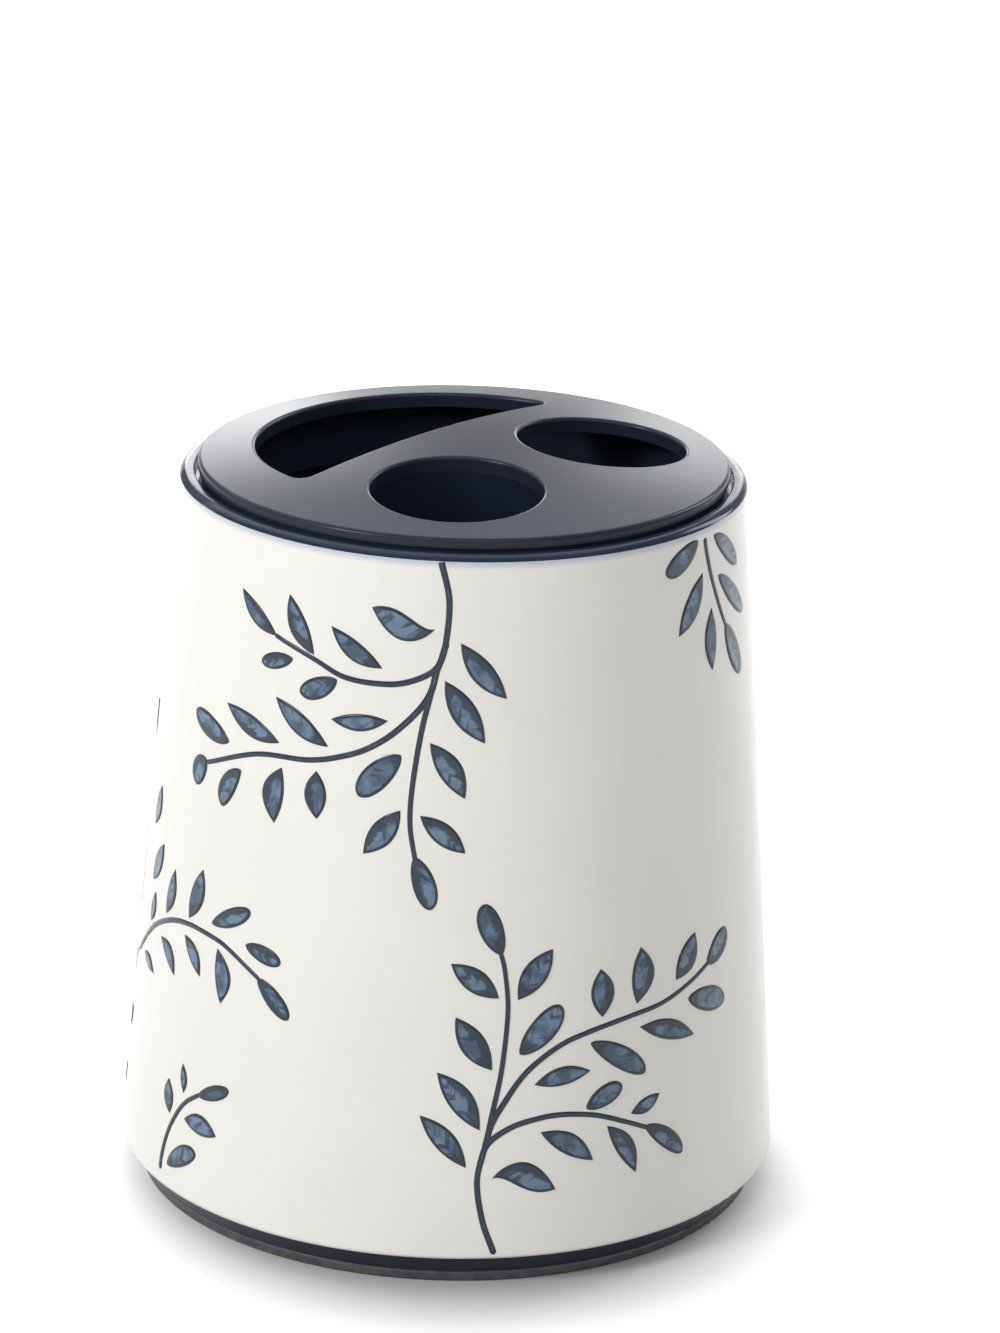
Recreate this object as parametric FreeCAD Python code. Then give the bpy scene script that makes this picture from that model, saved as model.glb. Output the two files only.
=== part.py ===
"""Toothbrush holder: tapered sleeve, hanging inner cup, lift-off domed lid, base plate and foot ring.

Millimetres. Z is the axis of the body, z = 0 is the surface that the foot ring stands on.
The brush holes face -Y, and the tube slot is on the +Y side.
"""
import FreeCAD
import Part
import math
import os

# Outer sleeve: the ivory tapered shell
SLEEVE_BASE_RADIUS = 54.0
SLEEVE_TOP_RADIUS = 45.45
SLEEVE_WALL = 2.4
SLEEVE_FOOT_ROUND = 0.5

# Step joint between the sleeve's top edge and the cup's lip
STEP_WIDTH = 1.2
STEP_DEPTH = 2.5
STEP_CLEARANCE = 0.2

# Inner cup with its rolled lip
CUP_WALL = 1.8
CUP_SIDE_CLEARANCE = 0.35
CUP_DRAFT = 1.5
CUP_DEPTH = 106.0
CUP_UNDER_GAP = 6.9
CUP_FLOOR = 2.2
CUP_FLOOR_ROUND = 4.0
LIP_WIDTH = 2.35
LIP_RISE = 0.8
LIP_SHOULDER = 1.5
LIP_INNER_ROUND = 0.25

# Lid: domed disc with a locating skirt
LID_SIDE_CLEARANCE = 0.5
LID_SEAT_DROP = 1.3
LID_EDGE_HEIGHT = 3.2
LID_EDGE_ROUND = 0.7
LID_DOME_RISE = 3.2
LID_THICKNESS = 2.4
LID_STEP = 0.35
LID_STEP_HEIGHT = 1.7
SKIRT_HEIGHT = 8.0
SKIRT_WALL = 1.8
SKIRT_CLEARANCE = 0.35

# Openings in the lid: the brush holes are as large as the webs round them allow
SLOT_CHORD_Y = 7.5
SLOT_ARC_CENTRE_Y = 3.9
SLOT_MARGIN = 4.25
SLOT_WEB = 7.6
BRUSH_HOLE_WEB = 8.6
BRUSH_HOLE_MARGIN = 2.6
SLOT_CORNER_ROUND = 2.0
OPENING_EDGE_ROUND = 0.5

# Base plate: visible band, which leans in by its chamfer towards the foot, plate and upstand
BAND_HEIGHT = 3.3
BAND_INSET = 0.8
BAND_CHAMFER = 2.2
PLATE_RECESS = 0.8
UPSTAND_HEIGHT = 6.0
UPSTAND_WALL = 2.0
UPSTAND_CLEARANCE = 0.15

# Foot ring: rounded bead below the band, held by a tongue in a groove under the base plate
FOOT_INSET = 0.2
FOOT_WIDTH = 6.0
FOOT_PROUD = 1.95
FOOT_SUNK = 1.2
FOOT_TONGUE_INSET = 1.5
FOOT_CLEARANCE = 0.15
FOOT_EDGE_ROUND = 0.55

AXIS_POINT = FreeCAD.Vector(0, 0, 0)
AXIS = FreeCAD.Vector(0, 0, 1)

# Heights that follow from the stack of pieces
BASE_UNDERSIDE_Z = FOOT_PROUD
SLEEVE_BOTTOM_Z = BASE_UNDERSIDE_Z + BAND_HEIGHT
SLEEVE_HEIGHT = CUP_UNDER_GAP + CUP_DEPTH
SLEEVE_TOP_Z = SLEEVE_BOTTOM_Z + SLEEVE_HEIGHT
LIP_TOP_Z = SLEEVE_TOP_Z + LIP_RISE
LID_SEAT_Z = LIP_TOP_Z - LID_SEAT_DROP
LID_EDGE_Z = LID_SEAT_Z + LID_EDGE_HEIGHT
LID_CROWN_Z = LID_EDGE_Z + LID_DOME_RISE
CUP_BOTTOM_Z = SLEEVE_TOP_Z - CUP_DEPTH
CUP_FLOOR_Z = CUP_BOTTOM_Z + CUP_FLOOR

# Radii that follow from the fits
SLEEVE_BORE_TOP = SLEEVE_TOP_RADIUS - SLEEVE_WALL
STEP_RADIUS = SLEEVE_BORE_TOP + STEP_WIDTH
CUP_TOP_RADIUS = SLEEVE_BORE_TOP - CUP_SIDE_CLEARANCE
CUP_MOUTH_RADIUS = CUP_TOP_RADIUS - CUP_WALL
LID_POCKET_RADIUS = SLEEVE_TOP_RADIUS - LIP_WIDTH
LID_RADIUS = LID_POCKET_RADIUS - LID_SIDE_CLEARANCE
SKIRT_OUTER_RADIUS = CUP_MOUTH_RADIUS - SKIRT_CLEARANCE
SKIRT_INNER_RADIUS = SKIRT_OUTER_RADIUS - SKIRT_WALL
DOME_RADIUS = (LID_RADIUS ** 2 + LID_DOME_RISE ** 2) / (2 * LID_DOME_RISE)
DOME_CENTRE_Z = LID_CROWN_Z - DOME_RADIUS
SLOT_ARC_RADIUS = SKIRT_INNER_RADIUS - SLOT_MARGIN - SLOT_ARC_CENTRE_Y
BAND_RADIUS = SLEEVE_BASE_RADIUS - BAND_INSET
FOOT_OUTER_RADIUS = BAND_RADIUS - BAND_CHAMFER - FOOT_INSET
FOOT_INNER_RADIUS = FOOT_OUTER_RADIUS - FOOT_WIDTH
TONGUE_OUTER_RADIUS = FOOT_OUTER_RADIUS - FOOT_TONGUE_INSET
TONGUE_INNER_RADIUS = FOOT_INNER_RADIUS + FOOT_TONGUE_INSET


def sleeve_outer_radius(z):
    """Outer radius of the sleeve's straight taper at a height."""
    share = (z - SLEEVE_BOTTOM_Z) / SLEEVE_HEIGHT
    return SLEEVE_BASE_RADIUS + share * (SLEEVE_TOP_RADIUS - SLEEVE_BASE_RADIUS)


def sleeve_bore_radius(z):
    """Inner radius of the sleeve at a height."""
    return sleeve_outer_radius(z) - SLEEVE_WALL


def on_plane(point):
    """Place a (radius, height) pair in the XZ plane."""
    return FreeCAD.Vector(point[0], 0, point[1])


def line(start, end):
    return Part.makeLine(on_plane(start), on_plane(end))


def lines(points):
    """Straight edges through a list of (radius, height) points."""
    return [line(start, end) for start, end in zip(points, points[1:])]


def arc(centre, start, end):
    """Arc between two points about a centre, over the shorter way."""
    radius = math.hypot(start[0] - centre[0], start[1] - centre[1])
    middle_x = start[0] + end[0] - 2 * centre[0]
    middle_z = start[1] + end[1] - 2 * centre[1]
    stretch = radius / math.hypot(middle_x, middle_z)
    middle = (centre[0] + middle_x * stretch, centre[1] + middle_z * stretch)
    return Part.Arc(on_plane(start), on_plane(middle), on_plane(end)).toShape()


def turned(edges):
    """Solid of revolution about Z from the edges of a closed section."""
    face = Part.Face(Part.Wire(Part.__sortEdges__(edges)))
    return face.revolve(AXIS_POINT, AXIS, 360)


def ring_edges(shape, radius, z):
    """Circular edges of a turned shape at one radius and height."""
    found = []
    for edge in shape.Edges:
        corners = edge.Vertexes
        at_height = all(abs(corner.Z - z) < 1e-4 for corner in corners)
        at_radius = all(abs(math.hypot(corner.X, corner.Y) - radius) < 1e-4 for corner in corners)
        if at_height and at_radius and edge.Length > radius:
            found.append(edge)
    return found


def dome_height(radius, thickness=0.0):
    """Height of the lid's dome, or of a surface below it, at a radius from the axis."""
    sphere = DOME_RADIUS - thickness
    return DOME_CENTRE_Z + math.sqrt(sphere ** 2 - radius ** 2)


def make_outer_sleeve():
    step_z = SLEEVE_TOP_Z - STEP_DEPTH
    section = lines([
        (SLEEVE_BASE_RADIUS, SLEEVE_BOTTOM_Z),
        (SLEEVE_TOP_RADIUS, SLEEVE_TOP_Z),
        (STEP_RADIUS, SLEEVE_TOP_Z),
        (STEP_RADIUS, step_z),
        (sleeve_bore_radius(step_z), step_z),
        (sleeve_bore_radius(SLEEVE_BOTTOM_Z), SLEEVE_BOTTOM_Z),
        (SLEEVE_BASE_RADIUS, SLEEVE_BOTTOM_Z),
    ])
    sleeve = turned(section)
    return sleeve.makeFillet(SLEEVE_FOOT_ROUND, ring_edges(sleeve, SLEEVE_BASE_RADIUS, SLEEVE_BOTTOM_Z))


def make_inner_cup():
    step_radius = STEP_RADIUS - STEP_CLEARANCE
    step_z = SLEEVE_TOP_Z - STEP_DEPTH + STEP_CLEARANCE
    crest_radius = SLEEVE_TOP_RADIUS - LIP_SHOULDER
    shoulder = (LIP_SHOULDER ** 2 + LIP_RISE ** 2) / (2 * LIP_RISE)
    bottom_radius = CUP_TOP_RADIUS - CUP_DRAFT
    floor_radius = bottom_radius - CUP_WALL
    outside = lines([
        (0, CUP_FLOOR_Z),
        (0, CUP_BOTTOM_Z),
        (bottom_radius, CUP_BOTTOM_Z),
        (CUP_TOP_RADIUS, step_z),
        (step_radius, step_z),
        (step_radius, SLEEVE_TOP_Z),
        (SLEEVE_TOP_RADIUS, SLEEVE_TOP_Z),
    ])
    lip = arc((crest_radius, LIP_TOP_Z - shoulder), (SLEEVE_TOP_RADIUS, SLEEVE_TOP_Z), (crest_radius, LIP_TOP_Z))
    inside = lines([
        (crest_radius, LIP_TOP_Z),
        (LID_POCKET_RADIUS, LIP_TOP_Z),
        (LID_POCKET_RADIUS, LID_SEAT_Z),
        (CUP_MOUTH_RADIUS, LID_SEAT_Z),
        (floor_radius, CUP_FLOOR_Z),
        (0, CUP_FLOOR_Z),
    ])
    cup = turned(outside + [lip] + inside)
    cup = cup.makeFillet(LIP_INNER_ROUND, ring_edges(cup, LID_POCKET_RADIUS, LIP_TOP_Z))
    cup = cup.makeFillet(CUP_FLOOR_ROUND, ring_edges(cup, floor_radius, CUP_FLOOR_Z))
    return cup.makeFillet(CUP_FLOOR_ROUND, ring_edges(cup, bottom_radius, CUP_BOTTOM_Z))


def brush_hole():
    """Radius, X and Y of the round hole that touches its half web, the slot's web and the skirt's margin."""
    half_web = BRUSH_HOLE_WEB / 2
    back_y = SLOT_CHORD_Y - SLOT_WEB
    reach = SKIRT_INNER_RADIUS - BRUSH_HOLE_MARGIN
    slope = 2 * (half_web - back_y + reach)
    rest = half_web ** 2 + back_y ** 2 - reach ** 2
    radius = (math.sqrt(slope ** 2 - 4 * rest) - slope) / 2
    return radius, half_web + radius, back_y - radius


def slot_cutter(bottom_z, height):
    """Prism of the D-shaped tube slot: a straight edge across the lid closed by an arc."""
    half_chord = math.sqrt(SLOT_ARC_RADIUS ** 2 - (SLOT_CHORD_Y - SLOT_ARC_CENTRE_Y) ** 2)
    left = FreeCAD.Vector(-half_chord, SLOT_CHORD_Y, bottom_z)
    right = FreeCAD.Vector(half_chord, SLOT_CHORD_Y, bottom_z)
    far = FreeCAD.Vector(0, SLOT_ARC_CENTRE_Y + SLOT_ARC_RADIUS, bottom_z)
    outline = Part.Wire([Part.makeLine(left, right), Part.Arc(right, far, left).toShape()])
    prism = Part.Face(outline).extrude(AXIS * height)
    corners = []
    for edge in prism.Edges:
        if abs(edge.Vertexes[0].Z - edge.Vertexes[-1].Z) > height / 2:
            corners.append(edge)
    return prism.makeFillet(SLOT_CORNER_ROUND, corners)


def opening_rims(lid):
    """Edges where the openings break through the lid's dome."""
    centre = FreeCAD.Vector(0, 0, DOME_CENTRE_Z)
    rims = []
    for edge in lid.Edges:
        if edge.Degenerated:
            continue
        points = edge.discretize(5)
        on_dome = all(abs(point.sub(centre).Length - DOME_RADIUS) < 1e-3 for point in points)
        inside = all(math.hypot(point.x, point.y) < LID_RADIUS - LID_EDGE_ROUND for point in points)
        if on_dome and inside and edge.Length > SLOT_CORNER_ROUND / 2:
            rims.append(edge)
    return rims


def make_lid():
    skirt_z = LID_SEAT_Z - SKIRT_HEIGHT
    step_z = LID_SEAT_Z + LID_STEP_HEIGHT
    seat_radius = LID_RADIUS - LID_STEP
    centre = (0, DOME_CENTRE_Z)
    skirt_top = (SKIRT_INNER_RADIUS, dome_height(SKIRT_INNER_RADIUS, LID_THICKNESS))
    underside_crown = (0, LID_CROWN_Z - LID_THICKNESS)
    dome = arc(centre, (0, LID_CROWN_Z), (LID_RADIUS, LID_EDGE_Z))
    side = lines([
        (LID_RADIUS, LID_EDGE_Z),
        (LID_RADIUS, step_z),
        (seat_radius, step_z),
        (seat_radius, LID_SEAT_Z),
        (SKIRT_OUTER_RADIUS, LID_SEAT_Z),
        (SKIRT_OUTER_RADIUS, skirt_z),
        (SKIRT_INNER_RADIUS, skirt_z),
        skirt_top,
    ])
    underside = arc(centre, skirt_top, underside_crown)
    lid = turned([dome] + side + [underside, line(underside_crown, (0, LID_CROWN_Z))])
    lid = lid.makeFillet(LID_EDGE_ROUND, ring_edges(lid, LID_RADIUS, LID_EDGE_Z))
    height = LID_CROWN_Z - skirt_z
    hole_radius, hole_x, hole_y = brush_hole()
    for side_x in (-hole_x, hole_x):
        foot = FreeCAD.Vector(side_x, hole_y, skirt_z)
        lid = lid.cut(Part.makeCylinder(hole_radius, height, foot, AXIS))
    lid = lid.cut(slot_cutter(skirt_z, height))
    return lid.makeFillet(OPENING_EDGE_ROUND, opening_rims(lid))


def make_base_plate():
    groove_z = BASE_UNDERSIDE_Z + FOOT_SUNK
    groove_outer = TONGUE_OUTER_RADIUS + FOOT_CLEARANCE
    groove_inner = TONGUE_INNER_RADIUS - FOOT_CLEARANCE
    recess_z = BASE_UNDERSIDE_Z + PLATE_RECESS
    upstand_top = SLEEVE_BOTTOM_Z + UPSTAND_HEIGHT
    upstand_foot_radius = sleeve_bore_radius(SLEEVE_BOTTOM_Z) - UPSTAND_CLEARANCE
    upstand_top_radius = sleeve_bore_radius(upstand_top) - UPSTAND_CLEARANCE
    section = lines([
        (0, recess_z),
        (groove_inner, recess_z),
        (groove_inner, groove_z),
        (groove_outer, groove_z),
        (groove_outer, BASE_UNDERSIDE_Z),
        (BAND_RADIUS - BAND_CHAMFER, BASE_UNDERSIDE_Z),
        (BAND_RADIUS, SLEEVE_BOTTOM_Z),
        (upstand_foot_radius, SLEEVE_BOTTOM_Z),
        (upstand_top_radius, upstand_top),
        (upstand_top_radius - UPSTAND_WALL, upstand_top),
        (upstand_foot_radius - UPSTAND_WALL, SLEEVE_BOTTOM_Z),
        (0, SLEEVE_BOTTOM_Z),
        (0, recess_z),
    ])
    return turned(section)


def make_foot_ring():
    tongue_z = BASE_UNDERSIDE_Z + FOOT_SUNK
    section = lines([
        (FOOT_INNER_RADIUS, 0),
        (FOOT_OUTER_RADIUS, 0),
        (FOOT_OUTER_RADIUS, BASE_UNDERSIDE_Z),
        (TONGUE_OUTER_RADIUS, BASE_UNDERSIDE_Z),
        (TONGUE_OUTER_RADIUS, tongue_z),
        (TONGUE_INNER_RADIUS, tongue_z),
        (TONGUE_INNER_RADIUS, BASE_UNDERSIDE_Z),
        (FOOT_INNER_RADIUS, BASE_UNDERSIDE_Z),
        (FOOT_INNER_RADIUS, 0),
    ])
    ring = turned(section)
    bead_edges = []
    for radius in (FOOT_INNER_RADIUS, FOOT_OUTER_RADIUS):
        for z in (0, BASE_UNDERSIDE_Z):
            bead_edges += ring_edges(ring, radius, z)
    return ring.makeFillet(FOOT_EDGE_ROUND, bead_edges)


PIECES = {
    "outer_sleeve": make_outer_sleeve,
    "base_plate": make_base_plate,
    "foot_ring": make_foot_ring,
    "inner_cup": make_inner_cup,
    "lid": make_lid,
}

os.makedirs("parts", exist_ok=True)
for name, make in PIECES.items():
    shape = make()
    shape.exportStep("parts/" + name + ".step")
    print(name, "solids", len(shape.Solids), "valid", shape.isValid(), "volume", round(shape.Volume, 1))
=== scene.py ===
import math

import bmesh
import bpy
from mathutils import Matrix, Vector


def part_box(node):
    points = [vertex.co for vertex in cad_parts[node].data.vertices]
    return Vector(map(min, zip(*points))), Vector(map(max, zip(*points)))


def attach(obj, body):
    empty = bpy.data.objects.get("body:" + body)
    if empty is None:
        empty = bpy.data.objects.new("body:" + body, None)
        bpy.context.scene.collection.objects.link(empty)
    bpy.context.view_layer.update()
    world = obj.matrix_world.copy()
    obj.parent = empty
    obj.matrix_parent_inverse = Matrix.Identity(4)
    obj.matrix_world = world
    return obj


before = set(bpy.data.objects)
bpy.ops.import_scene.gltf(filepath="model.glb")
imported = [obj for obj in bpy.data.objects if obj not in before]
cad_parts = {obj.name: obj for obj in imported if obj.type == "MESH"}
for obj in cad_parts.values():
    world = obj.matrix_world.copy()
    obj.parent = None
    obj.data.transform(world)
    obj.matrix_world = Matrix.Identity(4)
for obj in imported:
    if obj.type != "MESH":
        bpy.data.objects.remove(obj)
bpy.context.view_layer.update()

MM = 0.001
UP = Vector((0, 0, 1))

# Camera fitted to the rim, holes and base edge of the photograph
IMAGE_WIDTH = 1000
IMAGE_HEIGHT = 1333
FOCAL_PIXELS = 5549.6
SENSOR_SIZE = 36.0
CAMERA_DISTANCE = 900 * MM
CAMERA_AZIMUTH = math.radians(-50.4)
CAMERA_ELEVATION = math.radians(19.02)
CAMERA_ROLL = math.radians(1.64)
AIM_RIGHT = 6.65 * MM
AIM_HEIGHT = 85.84 * MM

# The sleeve's outer cone, which carries the leaf sprays
SLEEVE_BASE_RADIUS = 54 * MM
SLEEVE_TOP_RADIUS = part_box("inner_cup")[1].x
SLEEVE_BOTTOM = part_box("outer_sleeve")[0].z
SLEEVE_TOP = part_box("outer_sleeve")[1].z
SLEEVE_SLOPE = (SLEEVE_TOP_RADIUS - SLEEVE_BASE_RADIUS) / (SLEEVE_TOP - SLEEVE_BOTTOM)
SLEEVE_LEAN = math.atan(-SLEEVE_SLOPE)

# Relief of the leaf sprays
RELIEF_RISE = 0.16 * MM
RELIEF_SINK = 0.10 * MM
RELIEF_BEVEL = 0.38 * MM
RELIEF_DISH = 0.07 * MM
DISH_REACH = 1.2 * MM
LEAF_ROWS = 22
LEAF_COLUMNS = (1, 0.93, 0.8, 0.55, 0.2, -0.2, -0.55, -0.8, -0.93, -1)
LEAF_LEAST_WIDTH = 0.06 * MM
STEM_COLUMNS = (1, 0.85, 0.5, 0, -0.5, -0.85, -1)
STEM_RISE = 0.15 * MM
STEM_ROOT_WIDTH = 1.04 * MM
STEM_END_WIDTH = 0.76 * MM
STEM_STEP = 0.7 * MM
# Painted shade on the stems, kept low so that the slate fill shows along their middles as a painted gloss
# streak
STEM_SHADE = 0.1
STEM_CAP_STEPS = 5
STEM_CAP_LEAST = 0.12
BASE_SHADE_REACH = 0.32

# How full a leaf's edge is towards its base and its tip: pairs of exponents
POINTED = (1.0, 1.0)
BLUNT = (0.65, 0.5)
ROUND = (0.5, 0.5)
CURL = (0.8, 1.0)
CURL_INNER = (2.0, 1.0)
CURL_HOOK = (0.8, 4.0)
CURL_HOOK_SHARE = 0.13

# Side of a leaf painted in shade, seen from base to tip: the half of its relief turned away from the light
LEFT = 1
RIGHT = -1
EVEN = 0

# Sprays in the photograph's pixels. A stem is a list of points from its root. A leaf is its base, its tip,
# how far its two edges stand off the line between them, left then right, its cut, and its side painted in
# shade.
RIM_SPRAY_STEMS = [
    [(441.6, 562.3), (449.5, 602), (445, 648), (437, 671), (432, 690), (421, 734), (412, 789), (410, 826),
     (415, 860)],
    [(446, 645), (436, 669), (409, 682), (381, 684), (344, 677), (314, 659), (277, 636)],
    [(436, 674), (431, 692), (419, 710), (394, 733), (369, 748), (344, 756), (309, 760), (257, 754),
     (208, 762)],
]
RIM_SPRAY_LEAVES = [
    ((277, 636), (243, 588), 10.5, 3.2, POINTED, RIGHT),
    ((314, 655), (290, 594), 13, 5, POINTED, LEFT),
    ((382.5, 668.5), (331.5, 626), 13.5, 4.8, POINTED, EVEN),
    ((435, 629), (372, 607), 21.8, 6, CURL, EVEN),
    ((293, 659), (262, 661), 9, 8.3, BLUNT, RIGHT),
    ((337, 680), (300, 692), 13, 9.5, BLUNT, EVEN),
    ((388, 721), (331, 719), 11.5, 6, POINTED, EVEN),
    ((328, 747), (276, 696.5), 12.6, 6.1, POINTED, EVEN),
    ((279.5, 743), (227.5, 702.5), 13, 5.4, POINTED, LEFT),
    ((229, 742), (197, 709), 11.5, 6.5, BLUNT, LEFT),
    ((206, 758), (196.5, 783.5), 5.5, 10.2, ROUND, RIGHT),
    ((241, 770), (222, 805.5), 5, 13.6, BLUNT, RIGHT),
    ((281.7, 767.5), (274, 823), 5.5, 16.3, POINTED, RIGHT),
    ((316.5, 771), (316.5, 819), 9.7, 12.4, POINTED, RIGHT),
    ((461, 643.5), (507, 699), 9.6, 14, POINTED, LEFT),
    ((445, 681), (485, 743.5), 12, 14, POINTED, LEFT),
    ((430, 743), (465, 799), 15, 9.5, POINTED, LEFT),
    ((420, 816), (465.5, 853.5), 11.4, 10.4, POINTED, LEFT),
    ((401, 755.5), (358, 795.5), 12.5, 15.2, BLUNT, EVEN),
    ((400.5, 810.5), (363, 853.5), 13.5, 11.4, POINTED, RIGHT),
    ((414.5, 857), (430.5, 910), 12.8, 10.5, BLUNT, RIGHT),
]
BASE_SPRAY_STEMS = [
    [(493, 1251.5), (482, 1220), (477, 1181), (485, 1147), (492, 1115), (502, 1068), (508, 1011), (505, 971),
     (501, 954)],
    [(485, 1147), (491, 1126), (503, 1105), (526, 1073), (558, 1047), (589, 1032), (628, 1017), (662, 1003),
     (689, 983), (707, 964)],
    [(480, 1164), (487, 1145), (505, 1131), (526, 1122), (558, 1115), (594, 1115), (623, 1121), (646, 1127)],
]
BASE_SPRAY_LEAVES = [
    ((502, 955), (484, 904.5), 13.8, 11, BLUNT, RIGHT),
    ((499, 998.5), (451, 964), 11.5, 12.2, POINTED, RIGHT),
    ((492, 1070.5), (455.5, 1017.5), 14, 12.3, POINTED, RIGHT),
    ((479.5, 1130.5), (437, 1072.5), 10, 15.4, POINTED, RIGHT),
    ((466, 1168), (419.5, 1115.5), 9, 12.7, POINTED, EVEN),
    ((518, 1000), (553, 949), 12.6, 12, POINTED, EVEN),
    ((520, 1054.5), (561.5, 1005.5), 11.3, 14.7, BLUNT, EVEN),
    ((602.5, 1017), (601, 969), 10.6, 13, POINTED, RIGHT),
    ((637, 1003.5), (641, 947), 6.7, 15.5, POINTED, RIGHT),
    ((676, 980), (695, 932), 6, 11, POINTED, RIGHT),
    ((707, 964), (725.5, 927), 5.4, 9, BLUNT, RIGHT),
    ((688.5, 998.5), (724, 998.5), 13.8, 12.6, BLUNT, EVEN),
    ((640, 1027), (694, 1034), 12.6, 8.8, POINTED, LEFT),
    ((591, 1043), (645, 1072), 14, 9.7, BLUNT, EVEN),
    ((534.5, 1085), (590.5, 1070.5), 10.8, 7.5, POINTED, EVEN),
    ((586.5, 1108.5), (622, 1084.5), 10, 9.3, BLUNT, EVEN),
    ((631, 1113.5), (659.5, 1093), 5, 8.2, POINTED, EVEN),
    ((645, 1126), (681.5, 1152), 13.3, 6.8, BLUNT, LEFT),
    ((540.5, 1132.5), (593, 1160), 14.4, 7.7, POINTED, EVEN),
    ((607, 1126), (635.5, 1172), 15, 5.2, POINTED, LEFT),
    ((492, 1179), (555.5, 1189), 21.8, 6.3, CURL, LEFT),
]
SIDE_SPRAY_STEMS = [
    [(141, 946), (147, 934.5), (155.5, 924.5), (166, 920.5), (177, 920.5), (191, 925), (206.5, 933.5),
     (222, 943.5), (236, 956.5), (247.5, 968), (257.5, 978)],
]
SIDE_SPRAY_LEAVES = [
    ((151.5, 920), (156, 892), 2, 3, POINTED, EVEN),
    ((166.5, 913), (175.5, 869.5), 3, 6, POINTED, RIGHT),
    ((189, 918), (203.5, 869.5), 5.5, 9.2, POINTED, EVEN),
    ((212, 923), (250.5, 911.5), 9, 10.6, BLUNT, LEFT),
    ((245.5, 945), (280.5, 964), 8.3, 8.5, BLUNT, LEFT),
    ((257.5, 978), (288, 1020), 8.2, 8.1, BLUNT, RIGHT),
    ((145, 950), (153.5, 973), 3, 2.5, POINTED, EVEN),
    ((161.5, 936), (174, 975.5), 6.4, 2, POINTED, LEFT),
    ((185, 934.5), (199.5, 976.5), 6.6, 3.3, POINTED, EVEN),
    ((217.5, 948.5), (220, 1003.5), 11.6, 3.7, POINTED, EVEN),
    ((153.5, 879), (164.5, 844), 4, 5, POINTED, EVEN),
    ((156, 823.5), (162.5, 785.5), 2, 3.5, POINTED, EVEN),
]
FOOT_SPRAY_STEMS = [
    [(160.2, 1165.5), (161.5, 1155.5), (165, 1140), (171, 1123.5), (179, 1109.5), (187, 1101), (198, 1095.5)],
]
FOOT_SPRAY_LEAVES = [
    ((169.5, 1113), (169, 1078), 5, 4, POINTED, EVEN),
    ((183.5, 1093), (183, 1063.5), 2.5, 4, POINTED, EVEN),
    ((198, 1095.5), (228.5, 1091), 7.7, 8.5, BLUNT, LEFT),
    ((184, 1118.5), (216, 1137), 11.3, 7, POINTED, EVEN),
    ((167, 1164), (195.5, 1154), 13.6, 7.9, BLUNT, EVEN),
]
SMALL_SPRAY_STEMS = [
    [(705.3, 541), (707.5, 556), (712, 578.5), (718.5, 602.5), (725, 623.5)],
]
SMALL_SPRAY_LEAVES = [
    ((698, 540.5), (666, 575.5), 11, 6.9, BLUNT, EVEN),
    ((702.5, 573), (679, 637), 9.4, 5.3, POINTED, EVEN),
    ((711.5, 608), (712.5, 670), 4.3, 7.2, POINTED, RIGHT),
    ((714, 535), (736, 563), 9.9, 5.9, BLUNT, EVEN),
    ((718.5, 575), (742, 610), 8.5, 6.2, BLUNT, EVEN),
    ((725, 623.5), (740, 671), 6.4, 6.7, BLUNT, EVEN),
]

# The spray just out of sight on the left, which the side spray branches from.
# Its places are an azimuth in degrees and a height in mm.
HIDDEN_SPRAY_STEMS = [
    [(121, 6.6), (124, 14.9), (126.5, 26.9), (128, 38.9), (128.5, 50.9), (127, 63.9), (124, 75.9),
     (121, 82.9)],
    [(126.5, 26.9), (129, 31.9), (133, 35.4), (139.3, 38.75), (140.5, 39.3)],
]
# Base, tip, and how far the edges stand off in mm
HIDDEN_SPRAY_LEAVES = [
    ((121, 82.9), (117.5, 92.4), 2.0, 1.8, BLUNT, RIGHT),
    ((128, 71.9), (133, 79.9), 1.9, 2.0, POINTED, RIGHT),
    ((121, 69.9), (113, 76.4), 1.9, 2.0, POINTED, RIGHT),
    ((124.5, 58.9), (116, 65.9), 1.9, 2.0, POINTED, EVEN),
    ((125.5, 44.9), (116.5, 51.4), 2.0, 2.0, POINTED, RIGHT),
    ((124, 31.9), (115, 37.4), 1.9, 2.1, POINTED, EVEN),
    ((121.5, 19.4), (113, 23.9), 1.8, 2.0, POINTED, RIGHT),
    ((128.5, 21.9), (136.5, 26.9), 1.7, 1.8, POINTED, EVEN),
    ((125.5, 10.4), (133, 15.4), 1.9, 1.8, POINTED, EVEN),
]
# The far side repeats four sprays, turned about the axis
FAR_SIDE_TURN = math.radians(165)
# Steps between the brush marks' seeds, so that no two leaves of a spray look alike
LEAF_SEED_STEP = 0.618
STEM_SEEDS = 7

# Colours of the finishes, each as its deep and its pale end where it varies
IVORY = ((0.86, 0.84, 0.79, 1), (0.88, 0.86, 0.815, 1))
RIM_TINT = (0.42, 0.48, 0.6, 1)
RIM_TINT_REACH = 1.4 * MM
RIM_TINT_SHARE = 0.75
FOOT_TINT_REACH = 0.9 * MM
FOOT_TINT_SHARE = 0.35
SATIN_NAVY = ((0.012, 0.017, 0.028, 1), (0.02, 0.026, 0.04, 1))
GLOSS_NAVY = ((0.0165, 0.0255, 0.0485, 1), (0.0195, 0.0285, 0.0525, 1))
NAVY_SHEEN = (0.8, 0.88, 1, 1)
RUBBER_GREY = ((0.06, 0.06, 0.065, 1), (0.095, 0.094, 0.1, 1))
# Leaf fill: its pale end paints reflections in the glaze
LEAF_SLATE = ((0.05, 0.09, 0.144, 1), (0.148, 0.224, 0.32, 1))
LEAF_INK = (0.018, 0.029, 0.049, 1)
STAGE_GREY = (0.56, 0.56, 0.56, 1)

# Depth of the finest relief in the finishes
MOULD_RIPPLE = 0.05 * MM
BRUSH_RIPPLE = 0.2 * MM

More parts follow.
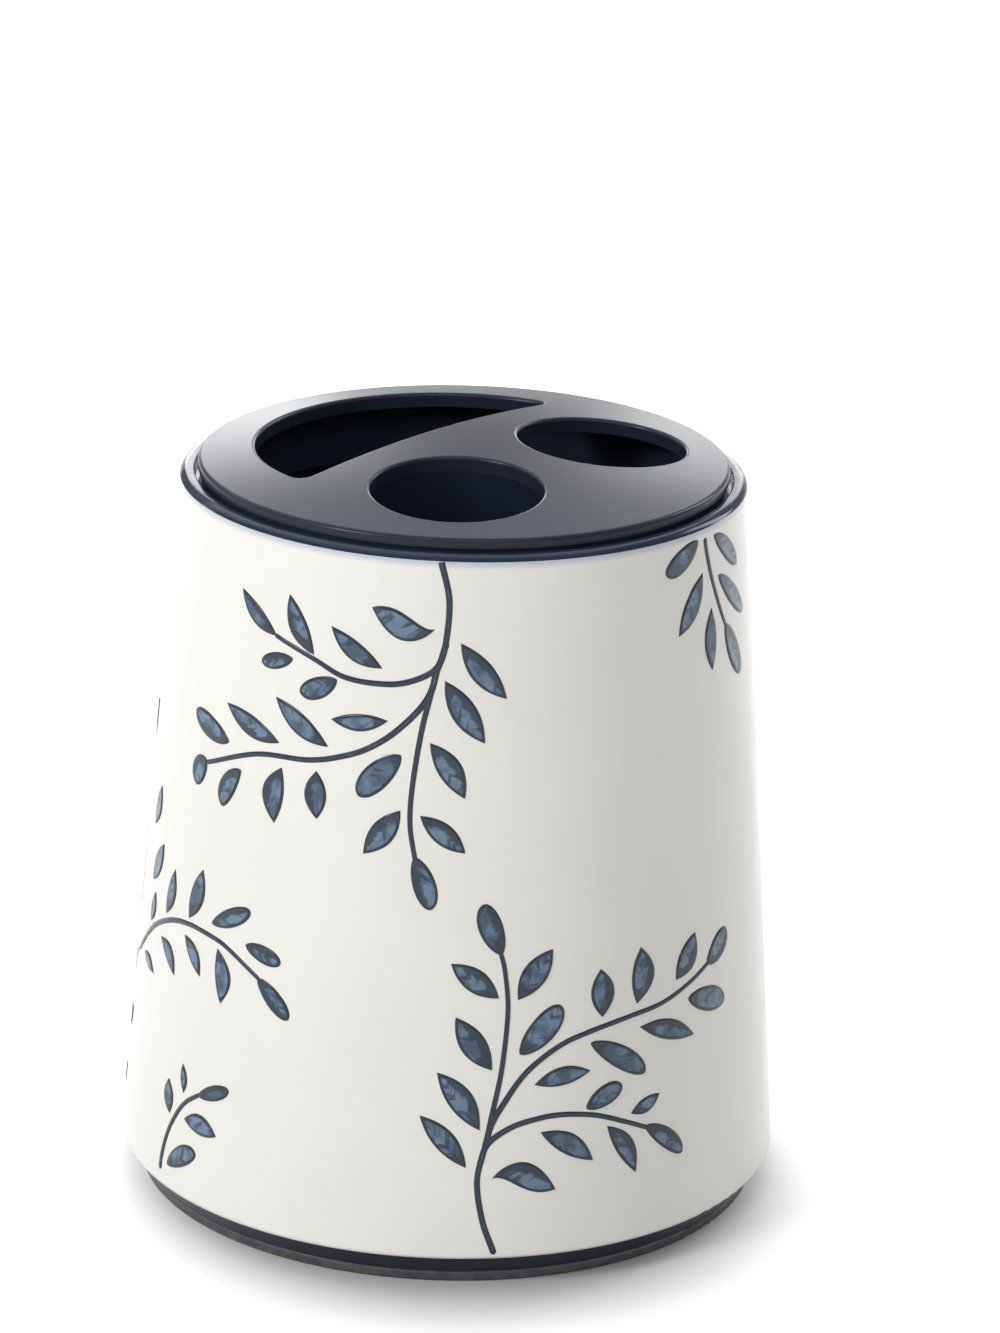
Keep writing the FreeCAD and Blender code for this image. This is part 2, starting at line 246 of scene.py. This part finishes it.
# Stage and light
FLOOR_RADIUS = 1.5
WALL_SWEEP = 0.6
WALL_TOP = 1.0
STAGE_SEGMENTS = 96
SWEEP_STEPS = 12
SHADOW_FORWARD = 15 * MM
SHADOW_RIGHT = 2.5 * MM
SHADOW_RADIUS = 37 * MM
SHADOW_FADE = 29 * MM
GLOW_NEAR = 0.68
GLOW_FAR = 0.35
GLOW_FAR_FROM = 0.1
GLOW_FAR_TO = 0.6
WALL_DIM_FROM = 0.1
WALL_DIM_TO = 0.5
WALL_DIM_SHARE = 0.15
WORLD_STRENGTH = 0.42
LIGHT_TARGET = Vector((0, 0, 60 * MM))


def camera_axes():
    """Where the camera stands, and its right, up and forward directions."""
    level_right = Vector((math.cos(CAMERA_AZIMUTH), math.sin(CAMERA_AZIMUTH), 0))
    depth = UP.cross(level_right)
    back = UP * math.sin(CAMERA_ELEVATION) - depth * math.cos(CAMERA_ELEVATION)
    aim = level_right * AIM_RIGHT + UP * AIM_HEIGHT
    level_up = level_right.cross(-back)
    right = level_right * math.cos(CAMERA_ROLL) + level_up * math.sin(CAMERA_ROLL)
    up = level_up * math.cos(CAMERA_ROLL) - level_right * math.sin(CAMERA_ROLL)
    return aim + back * CAMERA_DISTANCE, right, up, -back


CAMERA_PLACE, CAMERA_RIGHT, CAMERA_UP, CAMERA_FORWARD = camera_axes()


def make_camera():
    """The photograph's camera."""
    data = bpy.data.cameras.new("camera")
    data.sensor_width = SENSOR_SIZE
    data.lens = FOCAL_PIXELS * SENSOR_SIZE / IMAGE_HEIGHT
    data.clip_start = 0.01
    camera = bpy.data.objects.new("camera", data)
    axes = Matrix((CAMERA_RIGHT, CAMERA_UP, -CAMERA_FORWARD)).transposed()
    camera.matrix_world = Matrix.Translation(CAMERA_PLACE) @ axes.to_4x4()
    bpy.context.scene.collection.objects.link(camera)
    bpy.context.scene.camera = camera


def cone_radius(height):
    """The sleeve's outer radius at a height."""
    return SLEEVE_BASE_RADIUS + SLEEVE_SLOPE * (height - SLEEVE_BOTTOM)


def cone_point(azimuth, height, lift):
    """A point that stands off the sleeve's surface by lift."""
    radius = cone_radius(height) + lift * math.cos(SLEEVE_LEAN)
    lifted = height + lift * math.sin(SLEEVE_LEAN)
    return Vector((radius * math.cos(azimuth), radius * math.sin(azimuth), lifted))


def pixel_on_cone(pixel):
    """Azimuth and height where the photograph's pixel falls on the sleeve, or the outline's nearest place."""
    across = (pixel[0] - IMAGE_WIDTH / 2) / FOCAL_PIXELS
    down = (pixel[1] - IMAGE_HEIGHT / 2) / FOCAL_PIXELS
    ray = CAMERA_FORWARD + CAMERA_RIGHT * across - CAMERA_UP * down
    start = CAMERA_PLACE
    start_radius = cone_radius(start.z)
    a = ray.x ** 2 + ray.y ** 2 - (SLEEVE_SLOPE * ray.z) ** 2
    b = start.x * ray.x + start.y * ray.y - start_radius * SLEEVE_SLOPE * ray.z
    c = start.x ** 2 + start.y ** 2 - start_radius ** 2
    reach = (-b - math.sqrt(max(b * b - a * c, 0))) / a
    point = start + ray * reach
    return math.atan2(point.y, point.x), point.z


def unrolled(origin, place):
    """A place near origin as flat distances on the sleeve: round to the right, and up the slope."""
    turn = (place[0] - origin[0] + math.pi) % (2 * math.pi) - math.pi
    radius = cone_radius((origin[1] + place[1]) / 2)
    return Vector((turn * radius, (place[1] - origin[1]) / math.cos(SLEEVE_LEAN)))


def rolled(origin, flat):
    """The azimuth and height of flat distances from origin."""
    height = origin[1] + flat.y * math.cos(SLEEVE_LEAN)
    radius = cone_radius((origin[1] + height) / 2)
    return origin[0] + flat.x / radius, height


class Relief:
    """Raised closed patches on the sleeve, gathered into one mesh with what their finish needs to know."""

    ATTRIBUTES = ("edge", "along", "across", "shade", "seed")

    def __init__(self):
        self.points = []
        self.faces = []
        self.values = {name: [] for name in self.ATTRIBUTES}

    def add_point(self, place, lift, **values):
        self.points.append(cone_point(*place, lift))
        for name in self.ATTRIBUTES:
            self.values[name].append(values[name])
        return len(self.points) - 1

    def add_patch(self, rows):
        """Closes a grid of raised points with sides and an underside that lies within the sleeve's wall."""
        top = [[self.add_point(place, lift, **values) for place, lift, values in row] for row in rows]
        under = []
        for row in rows:
            ends = (row[0], row[-1])
            under.append([self.add_point(place, -RELIEF_SINK, **values) for place, lift, values in ends])
        for here, there, low, low_there in zip(top, top[1:], under, under[1:]):
            for column in range(len(here) - 1):
                self.faces.append((here[column], here[column + 1], there[column + 1], there[column]))
            self.faces.append((low[0], here[0], there[0], low_there[0]))
            self.faces.append((here[-1], low[1], low_there[1], there[-1]))
            self.faces.append((low[1], low[0], low_there[0], low_there[1]))
        self.faces.append(tuple(top[0][::-1]) + (under[0][0], under[0][1]))
        self.faces.append(tuple(top[-1]) + (under[-1][1], under[-1][0]))

    def make_object(self, name, material):
        mesh = bpy.data.meshes.new(name)
        mesh.from_pydata(self.points, [], self.faces)
        for attribute, values in self.values.items():
            mesh.attributes.new(attribute, "FLOAT", "POINT").data.foreach_set("value", values)
        shell = bmesh.new()
        shell.from_mesh(mesh)
        bmesh.ops.recalc_face_normals(shell, faces=shell.faces)
        for face in shell.faces:
            face.smooth = True
        shell.to_mesh(mesh)
        shell.free()
        mesh.materials.append(material)
        made = bpy.data.objects.new(name, mesh)
        bpy.context.scene.collection.objects.link(made)
        return made


def edge_shape(share, cut):
    """How far an edge stands off along a leaf, from 0 to 1, for a cut's two exponents."""
    to_base, to_tip = cut
    widest = to_base / (to_base + to_tip)
    return (share / widest) ** to_base * ((1 - share) / (1 - widest)) ** to_tip


def leaf_edges(share, left, right, cut):
    """Signed distances of a leaf's left and right edges from the line between its base and tip."""
    if cut == CURL:
        hook = CURL_HOOK_SHARE * left * edge_shape(share, CURL_HOOK)
        left_edge = left * edge_shape(share, CURL)
        right_edge = hook - right * edge_shape(share, CURL_INNER)
    else:
        left_edge = left * edge_shape(share, cut)
        right_edge = -right * edge_shape(share, cut)
    lacking = max(LEAF_LEAST_WIDTH - (left_edge - right_edge), 0)
    return left_edge + lacking / 2, right_edge - lacking / 2


def ease(value):
    """A smooth step from 0 to 1."""
    share = min(max(value, 0), 1)
    return share * share * (3 - 2 * share)


def leaf_lift(edge):
    """Height of a leaf's face at a distance from its edge: a rounded edge round a shallow dish."""
    bevel = min(edge / RELIEF_BEVEL, 1)
    rise = RELIEF_RISE * math.sqrt(1 - (1 - bevel) ** 2)
    return rise - RELIEF_DISH * ease((edge - RELIEF_BEVEL) / DISH_REACH)


def add_leaf(relief, base, tip, left, right, cut, side, seed):
    """One leaf between two places on the sleeve. Its edges' distances are real sizes."""
    chord = unrolled(base, tip)
    onward = chord.normalized()
    leftward = Vector((-onward.y, onward.x))
    shares = [(1 - math.cos(math.pi * row / LEAF_ROWS)) / 2 for row in range(LEAF_ROWS + 1)]
    edges = [leaf_edges(share, left, right, cut) for share in shares]
    outline = []
    for share, pair in zip(shares, edges):
        outline += [chord * share + leftward * edge for edge in pair]
    rows = []
    for share, (left_edge, right_edge) in zip(shares, edges):
        row = []
        for column in LEAF_COLUMNS:
            off = right_edge + (left_edge - right_edge) * (column + 1) / 2
            flat = chord * share + leftward * off
            edge = min((flat - point).length for point in outline)
            values = {
                "edge": edge / MM,
                "along": share * chord.length / MM,
                "across": off / MM,
                # Painted shade over the given side of the leaf, and darker towards its base
                "shade": max(column * side, 1 - share / BASE_SHADE_REACH),
                "seed": seed,
            }
            row.append((rolled(base, flat), leaf_lift(edge), values))
        rows.append(row)
    relief.add_patch(rows)


def smooth_line(places):
    """Flat points of a smooth line through places, measured from the first place, about one step apart."""
    knots = [unrolled(places[0], place) for place in places]
    knots = [knots[0] * 2 - knots[1]] + knots + [knots[-1] * 2 - knots[-2]]
    line = []
    for before, start, end, after in zip(knots, knots[1:], knots[2:], knots[3:]):
        steps = max(2, round((end - start).length / STEM_STEP))
        for step in range(steps):
            t = step / steps
            bend = 2 * before - 5 * start + 4 * end - after
            twist = 3 * (start - end) + after - before
            line.append(start + 0.5 * t * (end - before + t * (bend + t * twist)))
    return line + [knots[-2]]


def stem_stations(places):
    """Points along a stem, each with its direction, half width and share of the full height.

    The ends are round, but a stem that hangs from the rim starts square there.
    """
    line = smooth_line(places)
    stations = []
    for number, flat in enumerate(line):
        before = line[max(number - 1, 0)]
        after = line[min(number + 1, len(line) - 1)]
        share = number / (len(line) - 1)
        half_width = (STEM_ROOT_WIDTH + (STEM_END_WIDTH - STEM_ROOT_WIDTH) * share) / 2
        stations.append((flat, (after - before).normalized(), half_width, 1))
    hangs_from_rim = places[0][1] > SLEEVE_TOP - STEM_ROOT_WIDTH
    root = [] if hangs_from_rim else round_cap(stations[0], -1)[::-1]
    return root + stations + round_cap(stations[-1], 1)


def round_cap(station, way):
    """Further stations that close a stem's end in a half circle."""
    flat, onward, half_width, _ = station
    cap = []
    for step in range(1, STEM_CAP_STEPS + 1):
        angle = math.pi / 2 * step / STEM_CAP_STEPS
        swell = max(math.cos(angle), STEM_CAP_LEAST)
        cap.append((flat + onward * way * half_width * math.sin(angle), onward, half_width * swell, swell))
    return cap


def add_stem(relief, places, seed):
    """One stem, a rounded ribbon that narrows towards its end."""
    stations = stem_stations(places)
    rows = []
    along = 0
    last = stations[0][0]
    for flat, onward, half_width, swell in stations:
        along += (flat - last).length
        last = flat
        leftward = Vector((-onward.y, onward.x))
        row = []
        for column in STEM_COLUMNS:
            off = half_width * column
            values = {
                "edge": (half_width - abs(off)) / MM,
                "along": along / MM,
                "across": off / MM,
                "shade": STEM_SHADE,
                "seed": seed,
            }
            place = rolled(places[0], flat + leftward * off)
            row.append((place, STEM_RISE * swell * math.sqrt(1 - column * column), values))
        rows.append(row)
    relief.add_patch(rows)


def leaf_from_pixels(base, tip, left, right, cut, side):
    """The photograph's leaf as places and real sizes on the sleeve."""
    across = Vector(tip) - Vector(base)
    leftward = Vector((across.y, -across.x)).normalized()
    middle = (Vector(base) + Vector(tip)) / 2
    base_place = pixel_on_cone(base)
    tip_place = pixel_on_cone(tip)
    chord = unrolled(base_place, tip_place).normalized()
    edges = []
    for pixel in (middle + leftward * left, middle - leftward * right):
        edges.append(abs(chord.cross(unrolled(base_place, pixel_on_cone(pixel)))))
    return base_place, tip_place, edges[0], edges[1], cut, side


def degrees_place(place):
    """An azimuth in degrees and a height in mm as a place."""
    return math.radians(place[0]), place[1] * MM


def turned(place, turn):
    """A place carried round the axis."""
    return place[0] + turn, place[1]


def make_spray(name, material, stems, leaves, turn=0):
    """One spray of stems and leaves, which rides on the sleeve."""
    relief = Relief()
    for number, stem in enumerate(stems):
        add_stem(relief, [turned(place, turn) for place in stem], number / STEM_SEEDS)
    for number, (base, tip, left, right, cut, side) in enumerate(leaves):
        seed = (number * LEAF_SEED_STEP + turn) % 1
        add_leaf(relief, turned(base, turn), turned(tip, turn), left, right, cut, side, seed)
    spray = relief.make_object(name, material)
    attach(spray, "holder")


def make_sprays(material):
    """All sprays: those that the photograph shows, the hidden one beside them, and the far side's."""
    shown = {
        "rim_spray": (RIM_SPRAY_STEMS, RIM_SPRAY_LEAVES),
        "base_spray": (BASE_SPRAY_STEMS, BASE_SPRAY_LEAVES),
        "side_spray": (SIDE_SPRAY_STEMS, SIDE_SPRAY_LEAVES),
        "foot_spray": (FOOT_SPRAY_STEMS, FOOT_SPRAY_LEAVES),
        "small_spray": (SMALL_SPRAY_STEMS, SMALL_SPRAY_LEAVES),
    }
    for name, (stem_pixels, leaf_pixels) in shown.items():
        stems = [[pixel_on_cone(pixel) for pixel in stem] for stem in stem_pixels]
        leaves = [leaf_from_pixels(*leaf) for leaf in leaf_pixels]
        make_spray(name, material, stems, leaves)
        if name != "side_spray":
            make_spray("far_" + name, material, stems, leaves, FAR_SIDE_TURN)
    hidden_stems = [[degrees_place(place) for place in stem] for stem in HIDDEN_SPRAY_STEMS]
    hidden_leaves = []
    for base, tip, left, right, cut, side in HIDDEN_SPRAY_LEAVES:
        hidden_leaves.append((degrees_place(base), degrees_place(tip), left * MM, right * MM, cut, side))
    make_spray("hidden_spray", material, hidden_stems, hidden_leaves)


def new_material(name):
    """An empty material, its node tree and its shader."""
    material = bpy.data.materials.new(name)
    material.use_nodes = True
    tree = material.node_tree
    return material, tree, tree.nodes["Principled BSDF"]


def add_node(tree, kind, inputs=(), **settings):
    """A node with its settings, and its inputs linked or set by name or number."""
    made = tree.nodes.new(kind)
    for name, value in settings.items():
        setattr(made, name, value)
    for key, value in dict(inputs).items():
        if isinstance(value, bpy.types.NodeSocket):
            tree.links.new(value, made.inputs[key])
        else:
            made.inputs[key].default_value = value
    return made


def object_place(tree):
    """The surface's own coordinates, in metres."""
    return add_node(tree, "ShaderNodeTexCoord").outputs["Object"]


def noise(tree, place, scale, detail=2.0, roughness=0.5):
    """Noise from 0 to 1, with scale in repeats per unit of place."""
    inputs = {"Vector": place, "Scale": scale, "Detail": detail, "Roughness": roughness}
    return add_node(tree, "ShaderNodeTexNoise", inputs).outputs[0]


def spread(tree, value, low, high, to_low=0.0, to_high=1.0):
    """A smooth change from to_low to to_high as value goes from low to high."""
    inputs = {"Value": value, "From Min": low, "From Max": high, "To Min": to_low, "To Max": to_high}
    made = add_node(tree, "ShaderNodeMapRange", inputs, interpolation_type="SMOOTHSTEP")
    return made.outputs["Result"]


def combine(tree, operation, first, second):
    """Arithmetic on two values."""
    return add_node(tree, "ShaderNodeMath", {0: first, 1: second}, operation=operation).outputs[0]


def mix_colour(tree, share, first, second):
    """Colour between first and second."""
    made = add_node(tree, "ShaderNodeMix", data_type="RGBA")
    for socket, value in zip((made.inputs[0], made.inputs[6], made.inputs[7]), (share, first, second)):
        if isinstance(value, bpy.types.NodeSocket):
            tree.links.new(value, socket)
        else:
            socket.default_value = value
    return made.outputs[2]


def attribute(tree, name):
    """A value that the mesh carries at its points."""
    return add_node(tree, "ShaderNodeAttribute", attribute_name=name).outputs["Fac"]


def bump(tree, shader, height, strength, distance):
    """Fine relief in the shader's normal."""
    inputs = {"Height": height, "Strength": strength, "Distance": distance}
    tree.links.new(add_node(tree, "ShaderNodeBump", inputs).outputs["Normal"], shader.inputs["Normal"])


def ivory_gloss():
    """Glazed ivory: faint mottling, a breath of blue by the dark rims, and a slightly uneven gloss."""
    material, tree, shader = new_material("ivory_gloss")
    place = object_place(tree)
    mottling = spread(tree, noise(tree, place, 45, 3), 0.35, 0.65)
    ivory = mix_colour(tree, mottling, *IVORY)
    height = add_node(tree, "ShaderNodeSeparateXYZ", {0: place}).outputs["Z"]
    near_rim = spread(tree, height, SLEEVE_TOP - RIM_TINT_REACH, SLEEVE_TOP, 0, RIM_TINT_SHARE)
    near_foot = spread(tree, height, SLEEVE_BOTTOM + FOOT_TINT_REACH, SLEEVE_BOTTOM, 0, FOOT_TINT_SHARE)
    tint = combine(tree, "MAXIMUM", near_rim, near_foot)
    colour = mix_colour(tree, tint, ivory, RIM_TINT)
    tree.links.new(colour, shader.inputs["Base Color"])
    tree.links.new(spread(tree, noise(tree, place, 120, 2), 0.3, 0.7, 0.17, 0.25), shader.inputs["Roughness"])
    bump(tree, shader, noise(tree, place, 420, 2), 0.12, MOULD_RIPPLE)
    return material


def navy_satin():
    """Satin moulded navy, with slow changes of depth and of sheen."""
    material, tree, shader = new_material("navy_satin")
    place = object_place(tree)
    depth = spread(tree, noise(tree, place, 30, 1), 0.1, 0.9)
    colour = mix_colour(tree, depth, *SATIN_NAVY)
    tree.links.new(colour, shader.inputs["Base Color"])
    tree.links.new(spread(tree, noise(tree, place, 18, 0), 0.1, 0.9, 0.26, 0.3), shader.inputs["Roughness"])
    shader.inputs["Specular IOR Level"].default_value = 0.25
    shader.inputs["Specular Tint"].default_value = NAVY_SHEEN
    return material


def navy_gloss():
    """Glossy moulded navy with a soft ripple."""
    material, tree, shader = new_material("navy_gloss")
    place = object_place(tree)
    depth = spread(tree, noise(tree, place, 90, 3), 0.3, 0.7)
    colour = mix_colour(tree, depth, *GLOSS_NAVY)
    tree.links.new(colour, shader.inputs["Base Color"])
    tree.links.new(spread(tree, noise(tree, place, 300, 2), 0.3, 0.7, 0.1, 0.17), shader.inputs["Roughness"])
    shader.inputs["Specular IOR Level"].default_value = 0.22
    shader.inputs["Specular Tint"].default_value = NAVY_SHEEN
    bump(tree, shader, noise(tree, place, 260, 2), 0.1, MOULD_RIPPLE)
    return material


def foot_rubber():
    """Dark grey rubber with a soft sheen."""
    material, tree, shader = new_material("foot_rubber")
    place = object_place(tree)
    grain = spread(tree, noise(tree, place, 600, 3), 0.3, 0.7)
    colour = mix_colour(tree, grain, *RUBBER_GREY)
    tree.links.new(colour, shader.inputs["Base Color"])
    tree.links.new(spread(tree, grain, 0, 1, 0.3, 0.42), shader.inputs["Roughness"])
    return material


def leaf_glaze():
    """Blue glaze on the leaves: a dark line round a slate fill whose pale patches, placed at random, are
    painted reflections, with one side of each leaf painted in shade, darker towards the base, and brush
    strokes.
    """
    material, tree, shader = new_material("leaf_glaze")
    edge = attribute(tree, "edge")
    along = attribute(tree, "along")
    across = attribute(tree, "across")
    seed = attribute(tree, "seed")
    from_middle = combine(tree, "ABSOLUTE", across, 0.0)
    slanted = combine(tree, "SUBTRACT", along, from_middle)
    stroke_place = add_node(tree, "ShaderNodeCombineXYZ", {
        0: combine(tree, "MULTIPLY", slanted, 0.75),
        1: combine(tree, "MULTIPLY", across, 0.25),
        2: combine(tree, "MULTIPLY", seed, 60.0),
    }).outputs[0]
    cloud_place = add_node(tree, "ShaderNodeCombineXYZ", {
        0: along,
        1: across,
        2: combine(tree, "MULTIPLY", seed, 90.0),
    }).outputs[0]
    cloud = noise(tree, cloud_place, 0.35, 2)
    raggedness = combine(tree, "MULTIPLY", noise(tree, cloud_place, 0.45, 2), 0.6)
    ragged_edge = combine(tree, "SUBTRACT", edge, raggedness)
    outline = spread(tree, ragged_edge, 0.12, 0.32, 1, 0)
    stroke_noise = noise(tree, stroke_place, 1.0, 2)
    # Painted shade over the side of each leaf given in its shade value and towards its base, broken up by the
    # strokes' noise
    shade_level = combine(tree, "ADD", attribute(tree, "shade"), combine(tree, "MULTIPLY", stroke_noise, 1.4))
    painted_shade_side = spread(tree, shade_level, 0.75, 1.05, 0, 0.9)
    strokes = spread(tree, stroke_noise, 0.55, 0.63, 0, 0.75)
    ink_share = combine(tree, "MAXIMUM", combine(tree, "MAXIMUM", outline, painted_shade_side), strokes)
    # Pale patches at random in the fill: painted reflections in the glaze
    painted_reflection = combine(tree, "ADD", cloud, combine(tree, "MULTIPLY", seed, 0.2))
    fill = mix_colour(tree, spread(tree, painted_reflection, 0.42, 0.72), *LEAF_SLATE)
    colour = mix_colour(tree, ink_share, fill, LEAF_INK)
    tree.links.new(colour, shader.inputs["Base Color"])
    tree.links.new(spread(tree, cloud, 0.3, 0.7, 0.12, 0.24), shader.inputs["Roughness"])
    shader.inputs["Specular IOR Level"].default_value = 0.36
    bump(tree, shader, stroke_noise, 0.3, BRUSH_RIPPLE)
    return material


def dress_nodes():
    """Gives each CAD node its finish."""
    satin = navy_satin()
    finishes = {
        "outer_sleeve": ivory_gloss(),
        "base_plate": satin,
        "lid": satin,
        "inner_cup": navy_gloss(),
        "foot_ring": foot_rubber(),
    }
    for name, material in finishes.items():
        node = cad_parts[name]
        if node.material_slots:
            node.material_slots[0].material = material
        else:
            node.data.materials.append(material)


def stage_material():
    """White floor and backdrop: grey, with a painted glow that camera, glossy and transmission rays see. The
    glow fades out in a disc set forward and to the right of the object, so that the painted glow decides
    where the rendered shadow shows; high on the wall the glow is dimmed, painted shade that glossy parts
    reflect.
    """
    material, tree, shader = new_material("stage_white")
    tree.nodes.remove(shader)
    diffuse = add_node(tree, "ShaderNodeBsdfDiffuse", {"Color": STAGE_GREY})
    rays = add_node(tree, "ShaderNodeLightPath").outputs
    seen = combine(tree, "MAXIMUM", rays["Is Camera Ray"], rays["Is Glossy Ray"])
    seen = combine(tree, "MAXIMUM", seen, rays["Is Transmission Ray"])
    place = object_place(tree)
    # The disc where the painted glow fades out and the shadow shows sits off centre, towards the camera and
    # to the right
    to_right = Vector((math.cos(CAMERA_AZIMUTH), math.sin(CAMERA_AZIMUTH), 0))
    centre = to_right * SHADOW_RIGHT + to_right.cross(UP) * SHADOW_FORWARD
    measured = add_node(tree, "ShaderNodeVectorMath", {0: place, 1: centre}, operation="DISTANCE")
    distance = measured.outputs["Value"]
    near_glow = spread(tree, distance, SHADOW_RADIUS, SHADOW_RADIUS + SHADOW_FADE, 0, GLOW_NEAR)
    glow = combine(tree, "ADD", near_glow, spread(tree, distance, GLOW_FAR_FROM, GLOW_FAR_TO, 0, GLOW_FAR))
    height = add_node(tree, "ShaderNodeSeparateXYZ", {0: place}).outputs["Z"]
    # Painted shade: the wall's glow is dimmed with height
    wall_share = spread(tree, height, WALL_DIM_FROM, WALL_DIM_TO, 1, WALL_DIM_SHARE)
    dimmed = combine(tree, "MULTIPLY", glow, wall_share)
    emission = add_node(tree, "ShaderNodeEmission", {"Strength": combine(tree, "MULTIPLY", seen, dimmed)})
    both = add_node(tree, "ShaderNodeAddShader", {0: diffuse.outputs[0], 1: emission.outputs[0]})
    tree.links.new(both.outputs[0], tree.nodes["Material Output"].inputs["Surface"])
    return material


def make_stage():
    """A round white floor that sweeps up into a low wall all the way round."""
    profile = [Vector((0, 0, 0)), Vector((FLOOR_RADIUS / 4, 0, 0)), Vector((FLOOR_RADIUS, 0, 0))]
    for step in range(1, SWEEP_STEPS + 1):
        angle = math.pi / 2 * step / SWEEP_STEPS
        out = FLOOR_RADIUS + WALL_SWEEP * math.sin(angle)
        profile.append(Vector((out, 0, WALL_SWEEP * (1 - math.cos(angle)))))
    profile.append(Vector((FLOOR_RADIUS + WALL_SWEEP, 0, WALL_TOP)))
    shell = bmesh.new()
    line = [shell.verts.new(point) for point in profile]
    edges = [shell.edges.new(pair) for pair in zip(line, line[1:])]
    bmesh.ops.spin(shell, geom=line + edges, axis=UP, cent=(0, 0, 0), angle=2 * math.pi, steps=STAGE_SEGMENTS,
                   use_merge=True)
    bmesh.ops.remove_doubles(shell, verts=shell.verts, dist=MM / 10)
    for face in shell.faces:
        face.smooth = True
    mesh = bpy.data.meshes.new("stage")
    shell.to_mesh(mesh)
    shell.free()
    mesh.materials.append(stage_material())
    stage = bpy.data.objects.new("stage", mesh)
    bpy.context.scene.collection.objects.link(stage)


def make_lamp(name, azimuth, elevation, distance, width, height, power):
    """A soft box that faces the object. Its azimuth is in degrees from the camera, positive to the right."""
    turn = CAMERA_AZIMUTH - math.pi / 2 + math.radians(azimuth)
    rise = math.radians(elevation)
    away = Vector((math.cos(turn) * math.cos(rise), math.sin(turn) * math.cos(rise), math.sin(rise)))
    data = bpy.data.lights.new(name, "AREA")
    data.shape = "RECTANGLE"
    data.size = width
    data.size_y = height
    data.energy = power
    lamp = bpy.data.objects.new(name, data)
    lamp.location = LIGHT_TARGET + away * distance
    lamp.rotation_euler = away.to_track_quat("Z", "Y").to_euler()
    lamp.visible_camera = False
    bpy.context.scene.collection.objects.link(lamp)


def light_scene():
    """Plain studio light: soft boxes on the left, in front, overhead, behind and beside the object."""
    make_lamp("key_light", azimuth=-52, elevation=32, distance=1.0, width=0.24, height=0.28, power=4.0)
    make_lamp("front_light", azimuth=0, elevation=45, distance=1.3, width=0.9, height=0.7, power=3.55)
    make_lamp("top_light", azimuth=-165, elevation=60, distance=1.2, width=1.3, height=1.3, power=6.2)
    make_lamp("left_back_light", azimuth=-169, elevation=15, distance=1.2, width=0.27, height=0.4, power=1.35)
    make_lamp("right_back_light", azimuth=169, elevation=15, distance=1.2, width=0.27, height=0.4, power=1.1)
    make_lamp("left_side_light", azimuth=-100, elevation=30, distance=1.2, width=1.3, height=0.14, power=1.6)
    make_lamp("right_side_light", azimuth=132, elevation=30, distance=1.2, width=0.3, height=0.5, power=2.7)
    world = bpy.data.worlds.new("world")
    world.use_nodes = True
    background = world.node_tree.nodes["Background"]
    background.inputs["Color"].default_value = (1, 1, 1, 1)
    background.inputs["Strength"].default_value = WORLD_STRENGTH
    bpy.context.scene.world = world
    bpy.context.scene.view_settings.view_transform = "Standard"


make_camera()
make_stage()
light_scene()
dress_nodes()
make_sprays(leaf_glaze())
